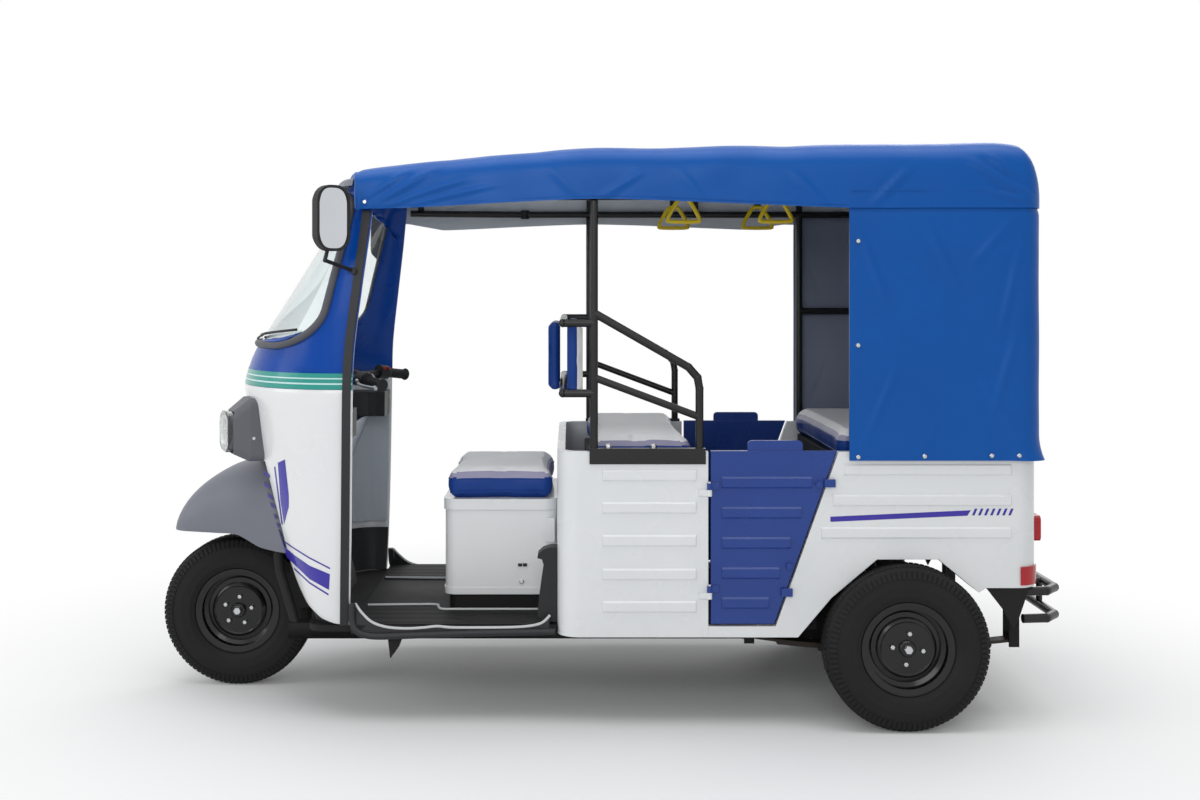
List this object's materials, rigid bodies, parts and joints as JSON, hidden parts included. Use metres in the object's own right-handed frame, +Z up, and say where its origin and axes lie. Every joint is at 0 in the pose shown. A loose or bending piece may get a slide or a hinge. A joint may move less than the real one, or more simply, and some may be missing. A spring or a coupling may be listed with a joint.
{
  "type": "auto rickshaw",
  "caption": "Electric auto rickshaw with a moulded cowl, driver's seat, ribbed passenger tub with facing benches and side doors, cloth canopy on hoops and a steered front wheel.",
  "frame": {"origin": "on the ground, below the middle of the vehicle's box", "axes": "-X to the front, +X to the rear bumper, +Y to the vehicle's right, +Z up"},
  "size_m": [2.9386, 1.2304, 1.825],
  "materials": {
    "black_steel": "satin black enamel",
    "floor_rubber": "matt mat",
    "black_plastic": "moulded, fine grain",
    "white_shell": "gloss gel coat",
    "blue_shell": "gloss gel coat",
    "clear_glass": "clear",
    "grey_rubber": "extruded seal",
    "grey_plastic": "satin moulding",
    "dark_grey_plastic": "satin moulding",
    "lens": "clear moulded lens",
    "lining_grey": "satin lining",
    "black_rubber": "extruded edging",
    "white_paint": "gloss enamel",
    "seat_vinyl": "grained vinyl",
    "black_paint": "matt underbody black",
    "canopy_vinyl": "coated canopy cloth",
    "yellow_plastic": "moulded grip",
    "red_lens": "moulded lens",
    "spring_steel": "dull black",
    "bare_steel": "dull",
    "wheel_paint": "satin black enamel",
    "tyre": "rubber",
    "blue_paint": "gloss enamel"
  },
  "bodies": {
    "chassis": {"chassis_frame": "black_steel", "floor_pan": "floor_rubber", "wheel_well": "black_plastic", "front_cowl": "white_shell", "windscreen_frame": "blue_shell", "windscreen_glass": "clear_glass", "windscreen_seal": "grey_rubber", "front_mudguard": "grey_plastic", "headlamp_pods": "dark_grey_plastic", "headlamp_lenses": "lens", "dash_tray": "black_plastic", "leg_shield": "lining_grey", "door_frame_trim": "black_rubber", "sun_visor": "grey_plastic", "mirror_housings": "black_plastic", "driver_seat_box": "white_paint", "driver_cushion": "seat_vinyl", "front_tub": "white_paint", "rear_tub": "white_paint", "tub_floor": "black_paint", "bench_boxes": "black_paint", "front_bench_cushion": "seat_vinyl", "rear_bench_cushion": "seat_vinyl", "rear_backrest": "seat_vinyl", "side_rails": "black_steel", "roof_frame": "black_steel", "roof_bows": "black_steel", "backrest_pads": "seat_vinyl", "canopy": "canopy_vinyl", "curtains": "canopy_vinyl", "grab_handles": "yellow_plastic", "tail_lamps": "red_lens", "rear_bumper": "black_steel", "rear_splash_guards": "black_plastic", "leaf_springs": "spring_steel", "rear_axle": "black_steel"},
    "steering": {"steering_column": "bare_steel", "handlebar": "black_plastic", "fork_leg": "black_steel"},
    "front_wheel": {"front_rim": "wheel_paint", "front_tyre": "tyre"},
    "left_wheel": {"left_rim": "wheel_paint", "left_tyre": "tyre"},
    "right_wheel": {"right_rim": "wheel_paint", "right_tyre": "tyre"},
    "left_door": {"left_door": "blue_paint"},
    "right_door": {"right_door": "blue_paint"}
  },
  "joints": [
    {"name": "steering_turn", "type": "hinge", "parent": "chassis", "child": "steering", "pos_m": [-1.0188, 0, 0.6], "axis": [0.3746, 0, 0.9272], "range_deg": [-40, 40]},
    {"name": "front_wheel_spin", "type": "hinge", "parent": "steering", "child": "front_wheel", "pos_m": [-1.216, 0, 0.253], "axis": [0, 1, 0], "continuous": true},
    {"name": "left_wheel_spin", "type": "hinge", "parent": "chassis", "child": "left_wheel", "pos_m": [0.954, -0.5, 0.253], "axis": [0, 1, 0], "continuous": true},
    {"name": "right_wheel_spin", "type": "hinge", "parent": "chassis", "child": "right_wheel", "pos_m": [0.954, 0.5, 0.253], "axis": [0, 1, 0], "continuous": true},
    {"name": "left_door_swing", "type": "hinge", "parent": "chassis", "child": "left_door", "pos_m": [0.351, -0.508, 0.5], "axis": [0, 0, -1], "range_deg": [0, 95]},
    {"name": "right_door_swing", "type": "hinge", "parent": "chassis", "child": "right_door", "pos_m": [0.351, 0.508, 0.5], "axis": [0, 0, 1], "range_deg": [0, 95]}
  ]
}
